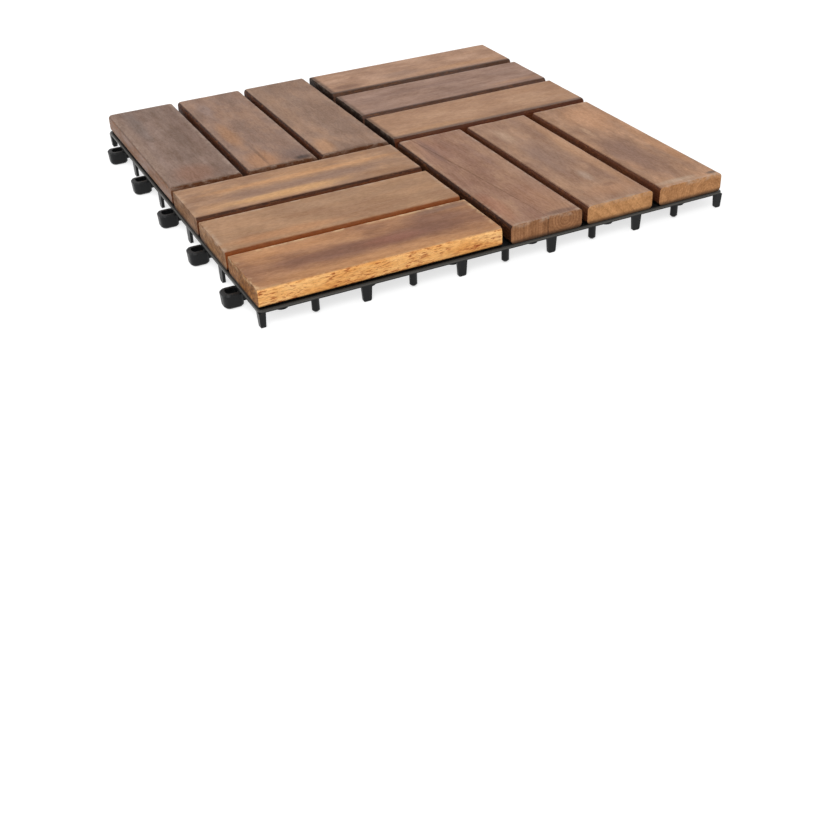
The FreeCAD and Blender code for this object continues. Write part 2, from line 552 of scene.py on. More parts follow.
class FineSurface(SharedEffect):
    """Fine skin, scuffs and clouding of a hard part."""

    title = "fine surface"
    takes = {"Skin Size": 0.35, "Scuff Size": 9.0}
    gives = ("Skin", "Scuffs", "Cloud")

    skin_roughness = 0.6
    scuff_detail = 5.0
    scuff_roughness = 0.7
    scuff_rise = (0.52, 0.72)
    cloud_size = 40.0

    def fill(self, graph: Graph, taken: dict[str, Value]) -> tuple[Value, ...]:
        """Fills the group.

        Args:
            graph: The group's graph.
            taken: What the group takes, by name.

        Returns:
            What the group gives, in order.
        """
        place = in_millimetres(taken["Vector"])

        def sized(size: Any) -> Value:
            """The place counted in features of a size."""
            share = graph.math("DIVIDE", 1.0, size)
            return graph.result("ShaderNodeVectorMath", place, None, None, share, operation="SCALE")

        skin = graph.noise(sized(taken["Skin Size"]), roughness=self.skin_roughness)
        scuffs = graph.noise(sized(taken["Scuff Size"]), self.scuff_detail, self.scuff_roughness)
        cloud = graph.noise(sized(self.cloud_size))
        return skin, graph.remap(scuffs, *self.scuff_rise), cloud


GRAIN = TimberGrain()
STAIN = StainPatch()
WEAR_AND_HIGHLIGHT = EdgeWearAndHighlight()
SURFACE = FineSurface()


# Finishes

class Finish:
    """A new material with its shader and output in place."""

    def __init__(self, name: str) -> None:
        """Starts the material.

        Args:
            name: The material's name.
        """
        self.material = bpy.data.materials.new(name)
        self.material.use_nodes = True
        self.graph = Graph(self.material.node_tree)
        self.shader = self.graph.node("ShaderNodeBsdfPrincipled")
        self.graph.node("ShaderNodeOutputMaterial", self.graph.outputs(self.shader)["BSDF"])
        spot = self.graph.outputs(self.graph.node("ShaderNodeTexCoord"))
        self.spot = spot["Object"]
        self.normal = spot["Normal"]

    def set(self, **values: Any) -> None:
        """Feeds the shader.

        Args:
            **values: Inputs by name, with underscores for spaces.
        """
        for name, value in values.items():
            self.graph.feed(self.shader.inputs[name.replace("_", " ")], value)

    def bump(self, height: Value, strength: float, depth: float) -> None:
        """Roughens the surface under the light.

        Args:
            height: The height, counted in depths.
            strength: How strongly it shows.
            depth: Its depth in millimetres.
        """
        bump = self.graph.node("ShaderNodeBump")
        bump.inputs["Strength"].default_value = strength
        bump.inputs["Distance"].default_value = depth * MM
        self.graph.feed(bump.inputs["Height"], height)
        self.set(Normal=self.graph.outputs(bump)["Normal"])


@dataclass(frozen=True)
class Patch:
    """A patch of other colour on a slat, in millimetres from the slat's middle; some are painted shade along
    the gaps.

    right and back are the tile's own directions, and the halves are its size each way from its middle.
    """

    right: float
    back: float
    half_right: float
    half_back: float
    colour: Colour
    strength: float
    raggedness: float = 0.9


@dataclass(frozen=True)
class Timber:
    """Colours and grain of one slat, in millimetres, with the turns as ranges of the normal.

    long_sides moves the front or left side, and then the back or right one, towards the back or right.
    """

    dark: Colour
    middle: Colour
    light: Colour
    # The dark tones of sides that face into the gaps are painted shade of the gaps.
    sides: Colour
    ends: Colour
    seed: float
    pith_across: float = 18.0
    pith_height: float = -45.0
    ring_width: float = 4.5
    taper: float = 0.05
    waviness: float = 2.5
    joint: float = -500.0
    joint_slope: float = 0.0
    ring_contrast: float = 0.10
    streak_contrast: float = 0.13
    fibre_contrast: float = 0.28
    pore_contrast: float = 0.08
    end_contrast: float = 0.32
    end_spread: float = 0.12
    fleck_strength: float = 0.25
    fleck_strength_on_top: float = 0.05
    fleck_colour: Colour = tone(150, 92, 50)
    joint_contrast: float = 0.35
    # Pale upper edges, from rubbing and from a painted highlight on the arrises: strength and colour.
    wear: float = 0.4
    wear_and_highlight_colour: Colour = tone(205, 184, 165)
    # Painted shade at the foot, where the slat meets the base: strength, the heights it fades over, and
    # colour.
    foot_shade: float = 0.85
    foot_span: Span = (0.4, 3.2)
    foot_shade_colour: Colour = tone(38, 25, 17)
    # Painted shade on the rounding from top to side: its strength and the range of the normal it falls over.
    # near_turn sets how far the side colour, with its painted shade, climbs the near rounding.
    turn_shade: float = 0.32
    top_turn: Span = (0.15, 0.8)
    near_turn: Span = (0.12, 0.45)
    far_turn: Span = (0.62, 0.93)
    end_turn: Span = (0.62, 0.93)
    under_turn: Span = (-0.5, -0.95)
    under_lightness: float = 1.1
    long_sides: Span = (0.0, 0.0)
    roughness: Span = (0.68, 0.56)
    worn_roughness: float = 0.2
    shine: float = 0.2
    patches: tuple[Patch, ...] = ()


class TimberFinish(Finish):
    """A slat's timber, laid on colour by colour."""

    dark_streak = (0.92, 0.80, 0.66)
    light_streak = (1.02, 1.12, 1.3)
    turn_warmth = (1.1, 1.3)
    end_warmth = (1.3, 1.6)
    grain_warmth = (0.85, 1.2)
    darkest = 0.15
    joint_on_top = 0.5
    bump_strength = 0.45
    bump_depth = 0.12

    def __init__(self, name: str, timber: Timber, middle: Vector, half: Vector, along_x: bool) -> None:
        """Reads the grain and where the surface faces.

        Args:
            name: The material's name.
            timber: The slat's colours and grain.
            middle: The slat's middle, in metres.
            half: Half its length, width and thickness, in metres.
            along_x: Whether it lies along X.
        """
        super().__init__(name)
        graph = self.graph
        self.timber = timber
        self.half_length, self.half_width, self.half_thickness = (part / MM for part in half)
        self.along_x = along_x
        turn = (0.0, 0.0, 0.0 if along_x else math.radians(-90.0))
        self.local = graph.result("ShaderNodeMapping", self.spot, middle, turn, vector_type="TEXTURE")
        self.grain = GRAIN.place(
            graph, Vector=self.local, Seed=timber.seed, Pith_Across=timber.pith_across,
            Pith_Height=timber.pith_height, Ring_Width=timber.ring_width, Taper=timber.taper,
            Waviness=timber.waviness, Joint_Across=timber.joint, Joint_Slope=timber.joint_slope)

        right, back, self.up = graph.split(self.normal)
        lengthways, sideways = (right, back) if along_x else (back, right)
        self.on_end = graph.remap(abs(lengthways), *timber.end_turn)
        # Where the near side's range starts low, the side colour and its painted shade climb the near
        # rounding.
        near = graph.remap(sideways * -1.0, *timber.near_turn)
        self.on_side = graph.math("MAXIMUM", near, graph.remap(sideways, *timber.far_turn))
        self.on_underside = graph.remap(self.up, *timber.under_turn)

    def top_colour(self) -> Value:
        """Colour of the top, clouded and with its patches, some of them painted shade along the gaps.

        Returns:
            The colour.
        """
        graph, timber = self.graph, self.timber
        stops = [(0.0, timber.dark), (0.5, timber.middle), (1.0, timber.light)]
        colour = graph.ramp(self.grain["Cloud"], stops)
        for patch in timber.patches:
            along, across = patch.right, patch.back
            half_length, half_width = patch.half_right, patch.half_back
            if not self.along_x:
                along, across = -across, along
                half_length, half_width = half_width, half_length
            stain = STAIN.place(graph, Vector=self.local, Along=along, Across=across, Half_Length=half_length,
                                Half_Width=half_width, Raggedness=patch.raggedness)
            colour = graph.mix(stain["Mask"] * patch.strength, colour, patch.colour)
        return colour

    def side_colour(self) -> Value:
        """Colour of the long sides, streaked, with warm painted shade on the rounding where they turn
        upwards.

        Returns:
            The colour.
        """
        sides = self.timber.sides
        darker, lighter = scaled(sides, *self.dark_streak), scaled(sides, *self.light_streak)
        streaked = self.graph.ramp(self.grain["Streaks"], [(0.0, darker), (0.5, sides), (1.0, lighter)])
        shade = self.graph.remap(self.up, *self.timber.top_turn, 1.0, self.timber.turn_shade)
        painted_turn_shades = self.graph.combine(shade, *(shade ** power for power in self.turn_warmth))
        return self.graph.mix(1.0, streaked, painted_turn_shades, "MULTIPLY")

    def end_colour(self) -> Value:
        """Colour of the sawn ends, speckled from dark to warm and light.

        Returns:
            The colour.
        """
        ends = self.timber.ends
        darker, lighter = 1.0 - self.timber.end_spread, 1.0 + self.timber.end_spread
        warmer = (lighter ** power for power in self.end_warmth)
        stops = [(0.0, scaled(ends, darker, darker, darker)), (1.0, scaled(ends, lighter, *warmer))]
        return self.graph.ramp((self.grain["Streaks"] + self.grain["Fibres"]) * 0.5, stops)

    def grain_shade(self) -> Value:
        """What the grain multiplies the colour by, warmer where it is darker.

        Returns:
            The shade, as a colour.
        """
        grain, timber = self.grain, self.timber
        ring_share = self.on_end * timber.end_contrast + timber.ring_contrast
        detail = (grain["Rings"] - 0.5) * ring_share + (grain["Streaks"] - 0.5) * timber.streak_contrast
        detail = detail + (grain["Fibres"] - 0.5) * timber.fibre_contrast
        detail = detail - grain["Pores"] * timber.pore_contrast
        joint_share = self.graph.remap(self.on_end, 0.0, 1.0, self.joint_on_top, 1.0) * timber.joint_contrast
        detail = detail - grain["Joint"] * joint_share
        shade = self.graph.math("MAXIMUM", detail + 1.0, self.darkest)
        red_power, blue_power = self.grain_warmth
        return self.graph.combine(shade ** red_power, shade, shade ** blue_power)

    def foot_shade_share(self) -> Value:
        """How much of the painted shade at the slat's foot shows, darkest at its bottom where it meets the
        base.

        Returns:
            The share.
        """
        full, gone = (height - self.half_thickness for height in self.timber.foot_span)
        rise = self.graph.split(self.local)[2] * (1.0 / MM)
        return self.graph.remap(rise, full, gone, self.timber.foot_shade, 0.0)

    def wear_and_highlight_share(self) -> Value:
        """How much of the pale rubbing and the painted edge highlight shows on the upper edges.

        Returns:
            The share.
        """
        rub_and_highlight = WEAR_AND_HIGHLIGHT.place(
            self.graph, Vector=self.local, Seed=self.timber.seed, Half_Length=self.half_length,
            Half_Width=self.half_width, Half_Thickness=self.half_thickness)
        return rub_and_highlight["Mask"] * self.timber.wear * (1.0 - self.on_side)

    def finished(self) -> bpy.types.Material:
        """Lays the colours over one another and sets the shader.

        Returns:
            The material.
        """
        graph, timber, grain = self.graph, self.timber, self.grain
        raw = scaled(timber.middle, *(timber.under_lightness,) * 3)
        colour = graph.mix(self.on_side, self.top_colour(), self.side_colour())
        colour = graph.mix(self.on_end, colour, self.end_colour())
        colour = graph.mix(self.on_underside, colour, raw)
        fleck_share = self.on_side * timber.fleck_strength + timber.fleck_strength_on_top
        colour = graph.mix(grain["Flecks"] * fleck_share, colour, timber.fleck_colour)
        colour = graph.mix(1.0, colour, self.grain_shade(), "MULTIPLY")
        # Painted shade at the foot.
        colour = graph.mix(self.foot_shade_share(), colour, timber.foot_shade_colour)
        # Pale rubbing and painted highlight on the upper edges.
        worn_and_lit = self.wear_and_highlight_share()
        colour = graph.mix(worn_and_lit, colour, timber.wear_and_highlight_colour)
        rough = graph.remap(grain["Streaks"], 0.0, 1.0, *timber.roughness) + worn_and_lit * timber.worn_roughness
        self.set(Base_Color=colour, Roughness=rough, Specular_IOR_Level=timber.shine)
        self.bump(grain["Height"], self.bump_strength, self.bump_depth)
        return self.material


@dataclass(frozen=True)
class MouldedPlastic:
    """Satin black moulded plastic, its rim paler from rubbing and from painted highlight, with a painted
    highlight band on its upright faces, in millimetres.
    """

    colour: Colour = tone(14, 15, 16)
    clouded: float = 0.8
    cloud_rise: Span = (0.3, 0.7)
    dusty: Colour = tone(52, 53, 54)
    dust: float = 0.12
    skin_size: float = 0.3
    scuff_size: float = 7.0
    rim_low: float = 9.45
    rim_rise: float = 0.3
    rim_from: float = 148.3
    rim_reach: float = 0.5
    # The rim is paler, partly from rubbing and partly as painted highlight, and a painted highlight band runs
    # along its upright faces.
    rim_rub_and_highlight_share: float = 0.34
    rim_rub_and_highlight_tone: Colour = tone(88, 85, 80)
    highlight_band_height: float = 10.3
    highlight_band_spread: float = 0.4
    highlight_band_share: float = 1.2
    roughness: Span = (0.34, 0.44)
    scuffed_roughness: float = 0.12
    shine: float = 0.22
    bump_strength: float = 0.25
    bump_depth: float = 0.06

    def material(self, name: str) -> bpy.types.Material:
        """The plastic's material.

        Args:
            name: The material's name.

        Returns:
            The material.
        """
        finish = Finish(name)
        graph = finish.graph
        skin = SURFACE.place(graph, Vector=finish.spot, Skin_Size=self.skin_size, Scuff_Size=self.scuff_size)
        right, back, height = graph.split(in_millimetres(finish.spot))
        upright = 1.0 - abs(graph.split(finish.normal)[2])
        out = graph.math("MAXIMUM", abs(right), abs(back))
        # The rim's mask, paler partly from rubbing and partly as painted highlight, with a painted highlight
        # band on its upright faces.
        rim = (graph.remap(height, self.rim_low, self.rim_low + self.rim_rise)
               * graph.remap(out, self.rim_from, self.rim_from + self.rim_reach))
        highlight_band = graph.remap(abs(height - self.highlight_band_height), 0.0, self.highlight_band_spread, self.highlight_band_share, 0.0)
        highlight_band = highlight_band * skin["Cloud"] * upright
        rub_and_highlight = graph.math("MULTIPLY", rim, highlight_band + self.rim_rub_and_highlight_share, clamp=True)
        darker = scaled(self.colour, *(self.clouded,) * 3)
        colour = graph.ramp(skin["Cloud"], list(zip(self.cloud_rise, (darker, self.colour))))
        colour = graph.mix(skin["Scuffs"] * self.dust, colour, self.dusty)
        colour = graph.mix(rub_and_highlight, colour, self.rim_rub_and_highlight_tone)
        rough = graph.remap(skin["Cloud"], *self.cloud_rise, *self.roughness)
        rough = rough + skin["Scuffs"] * self.scuffed_roughness
        finish.set(Base_Color=colour, Roughness=rough, Specular_IOR_Level=self.shine)
        finish.bump(skin["Skin"], self.bump_strength, self.bump_depth)
        return finish.material


@dataclass(frozen=True)
class ScrewSteel:
    """Plated steel of the screws, a little dull and scuffed, in millimetres."""

    bright: Colour = tone(196, 196, 192)
    dull: Colour = tone(128, 126, 120)
    skin_size: float = 0.15
    scuff_size: float = 1.6
    roughness: Span = (0.28, 0.5)
    bump_strength: float = 0.3
    bump_depth: float = 0.02

    def material(self, name: str) -> bpy.types.Material:
        """The steel's material.

        Args:
            name: The material's name.

        Returns:
            The material.
        """
        finish = Finish(name)
        graph = finish.graph
        skin = SURFACE.place(graph, Vector=finish.spot, Skin_Size=self.skin_size, Scuff_Size=self.scuff_size)
        finish.set(Base_Color=graph.mix(skin["Scuffs"], self.bright, self.dull), Metallic=1.0,
                   Roughness=graph.remap(skin["Scuffs"], 0.0, 1.0, *self.roughness))
        finish.bump(skin["Skin"], self.bump_strength, self.bump_depth)
        return finish.material


# The slats' finishes, by node

# Long dark bands along a slat's near edge or end, like this one, are painted shade of the gaps, as are the
# back-right slats' near-black ends and the dark tones of sides facing into the gaps.
PAINTED_SHADE_FRONT_END = Patch(0, -73, 300, 2.3, tone(92, 62, 43), 0.9, 0.35)

SLAT_FINISHES: dict[str, Timber] = {
    "slat_front_left_1": Timber(
        dark=tone(147, 105, 78), middle=tone(170, 123, 89), light=tone(188, 139, 99),
        sides=tone(250, 188, 115), ends=tone(136, 84, 38), seed=1.0, pith_across=-30.0, pith_height=-30.0,
        ring_width=2.6, taper=0.10, end_contrast=0.7, end_spread=0.6, fleck_strength=0.95,
        fleck_colour=tone(168, 84, 38), wear=0.7, wear_and_highlight_colour=tone(240, 208, 164), foot_shade=0.95,
        foot_span=(0.8, 1.8), turn_shade=1.0, near_turn=(0.55, 0.88), long_sides=(0.6, 1.5),
        patches=(
            Patch(0, -2.5, 80, 8.5, tone(124, 86, 69), 0.9, 0.5),
            Patch(48, 8, 30, 13, tone(126, 89, 73), 0.75, 0.8),
            Patch(14, -3, 20, 6, tone(150, 98, 80), 0.5, 0.6),
            Patch(-40, 15, 34, 6, tone(194, 140, 96), 0.6, 0.8),
            Patch(0, -18.5, 80, 5.5, tone(190, 138, 94), 0.75, 0.5),
            Patch(56, 19, 18, 4, tone(120, 96, 84), 0.6),
        )),
    "slat_front_left_2": Timber(
        dark=tone(159, 120, 91), middle=tone(167, 129, 98), light=tone(180, 139, 106),
        sides=tone(136, 74, 34), ends=tone(133, 90, 53), seed=2.0, pith_across=40.0, pith_height=-60.0,
        ring_width=3.0, taper=0.03, ring_contrast=0.06, streak_contrast=0.08, end_contrast=0.7,
        end_spread=0.5, wear=0.5, turn_shade=0.8, near_turn=(0.35, 0.7), long_sides=(0.5, 1.5),
        patches=(
            Patch(-34, -14, 40, 5, tone(192, 139, 98), 0.65),
            Patch(10, 12, 54, 8, tone(163, 129, 102), 0.4),
            Patch(0, -23, 300, 2.4, tone(150, 100, 62), 0.7, 0.5),
            Patch(-50, -23, 15, 2.0, tone(96, 52, 26), 0.8, 0.7),
            Patch(24, -23, 12, 1.6, tone(104, 58, 30), 0.6, 0.7),
            Patch(62, -23, 12, 1.8, tone(104, 58, 30), 0.6, 0.7),
        )),
    "slat_front_left_3": Timber(
        dark=tone(155, 119, 94), middle=tone(169, 131, 102), light=tone(191, 147, 110),
        sides=tone(100, 56, 32), ends=tone(121, 82, 50), seed=3.0, pith_across=12.0, pith_height=-80.0,
        ring_width=3.0, taper=0.02, end_contrast=0.7, end_spread=0.4, wear=0.4, long_sides=(0.5, 1.5),
        patches=(
            Patch(0, 18, 76, 4.5, tone(157, 117, 88), 0.5),
            Patch(4, 7.5, 66, 3.4, tone(203, 152, 108), 0.85, 0.6),
            Patch(0, -3.5, 74, 6, tone(147, 117, 100), 0.8),
            Patch(-14, -13.5, 42, 4.2, tone(211, 163, 114), 0.9, 0.7),
            Patch(54, -15, 18, 4, tone(157, 115, 82), 0.5),
            Patch(0, -22.4, 300, 3.0, tone(112, 82, 64), 0.95, 0.35),
        )),
    "slat_front_right_1": Timber(
        dark=tone(144, 106, 87), middle=tone(157, 119, 97), light=tone(170, 131, 104),
        sides=tone(54, 26, 10), ends=tone(152, 104, 68), seed=4.0, pith_across=13.0, pith_height=2.0,
        ring_width=1.9, taper=0.11, waviness=2.0, joint=-6.5, joint_slope=0.105, ring_contrast=0.18,
        end_contrast=0.5, joint_contrast=0.6, wear=0.5, turn_shade=0.7, near_turn=(0.35, 0.7),
        long_sides=(-0.3, 1.1),
        patches=(
            Patch(-11, 50, 11, 24, tone(152, 110, 91), 0.5),
            Patch(-11, 46, 3, 28, tone(118, 88, 79), 0.55),
            Patch(18, 0, 5, 64, tone(164, 128, 104), 0.4),
            Patch(10, -48, 12, 22, tone(172, 128, 99), 0.5),
            Patch(-17, -46, 6, 20, tone(164, 110, 84), 0.5),
            Patch(11, -70, 12, 3, tone(106, 82, 72), 0.6),
            Patch(12, 26, 3, 26, tone(140, 106, 92), 0.4),
        )),
    "slat_front_right_2": Timber(
        dark=tone(146, 111, 90), middle=tone(163, 127, 103), light=tone(180, 141, 113),
        sides=tone(80, 40, 19), ends=tone(194, 139, 89), seed=5.0, pith_across=-50.0, pith_height=-45.0,
        ring_width=5.5, taper=0.06, ring_contrast=0.07, wear=0.35, turn_shade=0.7, near_turn=(0.35, 0.7),
        long_sides=(0.5, 0.0),
        patches=(
            Patch(-9, 46, 5, 16, tone(184, 151, 126), 0.7),
            Patch(-3, 2, 12, 30, tone(142, 112, 96), 0.75),
            Patch(1, -34, 4, 9, tone(178, 152, 134), 0.6),
            Patch(18, 0, 5, 70, tone(188, 144, 110), 0.65),
            Patch(4, -58, 17, 9, tone(176, 129, 96), 0.45),
            Patch(6, -52, 4, 2.5, tone(128, 94, 75), 0.5),
        )),
    "slat_front_right_3": Timber(
        dark=tone(151, 115, 91), middle=tone(171, 132, 104), light=tone(194, 149, 117),
        sides=tone(86, 44, 22), ends=tone(182, 128, 82), seed=6.0, pith_across=14.0, pith_height=-5.0,
        ring_width=1.7, taper=0.03, ring_contrast=0.08, wear=0.6, turn_shade=0.7, near_turn=(0.35, 0.7),
        long_sides=(0.8, 0.0),
        patches=(
            Patch(6, 46, 17, 26, tone(200, 150, 114), 0.65),
            Patch(-9, 24, 2.2, 10, tone(208, 170, 138), 0.5),
            Patch(-7, -20, 13, 40, tone(138, 106, 90), 0.85),
            Patch(17, -20, 5, 34, tone(194, 143, 103), 0.5),
            Patch(-8, -68, 15, 3, tone(198, 174, 152), 0.5),
            Patch(18, -69, 4, 2, tone(95, 83, 74), 0.8, 0.5),
        )),
    "slat_back_left_1": Timber(
        dark=tone(117, 94, 82), middle=tone(131, 107, 94), light=tone(144, 119, 106),
        sides=tone(133, 105, 88), ends=tone(110, 66, 40), seed=7.0, pith_across=60.0, pith_height=-70.0,
        ring_width=3.6, taper=0.04, streak_contrast=0.26, wear=0.45, near_turn=(0.55, 0.88),
        long_sides=(0.0, 0.9),
        patches=(
            Patch(-19, 0, 3, 74, tone(154, 129, 114), 0.6),
            Patch(-11, 42, 5, 34, tone(121, 107, 101), 0.55),
            Patch(-2, -58, 15, 15, tone(146, 105, 84), 0.6),
            Patch(16, 10, 6, 64, tone(117, 91, 78), 0.5),
            PAINTED_SHADE_FRONT_END,
        )),
    "slat_back_left_2": Timber(
        dark=tone(133, 106, 91), middle=tone(146, 116, 99), light=tone(161, 127, 105),
        sides=tone(72, 36, 17), ends=tone(110, 66, 40), seed=8.0, pith_across=-25.0, pith_height=-55.0,
        ring_width=4.2, taper=0.07, wear=0.3, near_turn=(0.3, 0.65), long_sides=(0.0, 1.3),
        patches=(
            Patch(-13, -8, 5, 26, tone(176, 130, 94), 0.65),
            Patch(-9, -60, 12, 15, tone(180, 131, 94), 0.7),
            Patch(13, -62, 10, 10, tone(116, 94, 87), 0.6),
            Patch(16, -69, 6, 4, tone(64, 49, 45), 0.9, 0.6),
            Patch(-11, 46, 4, 18, tone(145, 125, 119), 0.5),
            Patch(-7, -50, 1.4, 20, tone(104, 79, 66), 0.5),
            PAINTED_SHADE_FRONT_END,
        )),
    "slat_back_left_3": Timber(
        dark=tone(137, 109, 92), middle=tone(150, 120, 101), light=tone(167, 132, 108),
        sides=tone(72, 36, 17), ends=tone(110, 66, 40), seed=9.0, pith_across=35.0, pith_height=-40.0,
        ring_width=4.8, taper=0.05, wear=0.3, near_turn=(0.3, 0.65), long_sides=(0.0, 1.5),
        patches=(
            Patch(-15, -58, 6, 14, tone(191, 143, 104), 0.65),
            Patch(-14, 30, 6, 40, tone(165, 131, 107), 0.5),
            Patch(12, 0, 9, 66, tone(140, 111, 94), 0.5),
            Patch(4, -70.5, 18, 2, tone(119, 90, 73), 0.5),
            PAINTED_SHADE_FRONT_END,
        )),
    "slat_back_right_1": Timber(
        dark=tone(164, 125, 98), middle=tone(174, 134, 105), light=tone(185, 145, 115),
        sides=tone(90, 46, 26), ends=tone(34, 18, 9), seed=10.0, pith_across=-20.0, pith_height=-90.0,
        ring_width=6.0, taper=0.02, ring_contrast=0.05, streak_contrast=0.08, wear=0.15, turn_shade=0.6,
        end_turn=(0.15, 0.55), long_sides=(-0.4, 1.3),
        patches=(
            Patch(-38, -14, 30, 4, tone(189, 144, 106), 0.5),
            Patch(48, 15, 24, 6, tone(183, 141, 110), 0.4),
            Patch(0, -22, 300, 4.0, tone(112, 90, 78), 0.95, 0.35),
            Patch(-73, 0, 3.0, 300, tone(64, 40, 26), 0.7, 0.5),
        )),
    "slat_back_right_2": Timber(
        dark=tone(144, 113, 97), middle=tone(156, 124, 107), light=tone(167, 134, 116),
        sides=tone(98, 70, 58), ends=tone(34, 18, 9), seed=11.0, pith_across=30.0, pith_height=-65.0,
        ring_width=3.8, taper=0.03, streak_contrast=0.22, wear=0.15, turn_shade=0.6,
        end_turn=(0.15, 0.55), long_sides=(0.0, 1.0),
        patches=(
            Patch(0, 7, 64, 3, tone(140, 110, 97), 0.45),
            Patch(52, -14, 22, 3, tone(174, 130, 97), 0.5),
            Patch(0, -23, 300, 3.0, tone(88, 68, 62), 0.95, 0.35),
            Patch(-73, 0, 3.0, 300, tone(64, 42, 30), 0.7, 0.5),
        )),
    "slat_back_right_3": Timber(
        dark=tone(163, 126, 102), middle=tone(180, 141, 115), light=tone(193, 153, 126),
        sides=tone(96, 70, 57), ends=tone(36, 20, 11), seed=12.0, pith_across=-35.0, pith_height=-50.0,
        ring_width=5.2, taper=0.04, ring_contrast=0.07, wear=0.2, turn_shade=0.6,
        end_turn=(0.15, 0.55), long_sides=(0.4, 0.0),
        patches=(
            Patch(-58, -12, 13, 5, tone(136, 103, 85), 0.75),
            Patch(-47, 0, 5, 4, tone(158, 118, 92), 0.6),
            Patch(-47, 4, 2.4, 1.6, tone(108, 71, 54), 0.35, 0.4),
            Patch(36, -12, 36, 4, tone(197, 150, 111), 0.55),
            Patch(-13, -7, 17, 6, tone(154, 124, 107), 0.6),
            Patch(0, -22, 300, 4.0, tone(84, 66, 58), 0.97, 0.35),
            Patch(-73, 0, 3.4, 300, tone(60, 40, 30), 0.8, 0.5),
        )),
}


# Pieces

def finished_object(name: str, shape: bmesh.types.BMesh, material: bpy.types.Material,
                    smooth: bool = True) -> bpy.types.Object:
    """Turns a finished bmesh into an object at the origin.

    Args:
        name: The object's name.
        shape: The bmesh, which is freed.
        material: Its material.
        smooth: Whether its faces are shaded smooth.

    Returns:
        The object, linked to the scene.
    """
    for face in shape.faces:
        face.smooth = smooth
    mesh = bpy.data.meshes.new(name)
    shape.to_mesh(mesh)
    shape.free()
    mesh.materials.append(material)
    made = bpy.data.objects.new(name, mesh)
    bpy.context.scene.collection.objects.link(made)
    return made


def turned(shape: bmesh.types.BMesh, verts: Any, degrees: float) -> None:
    """Turns part of a bmesh about the Z axis.

    Args:
        shape: The bmesh.
        verts: The vertices to turn.
        degrees: The angle, anticlockwise from above.
    """
    matrix = Matrix.Rotation(math.radians(degrees), 3, "Z")
    bmesh.ops.rotate(shape, verts=verts, cent=ORIGIN, matrix=matrix)


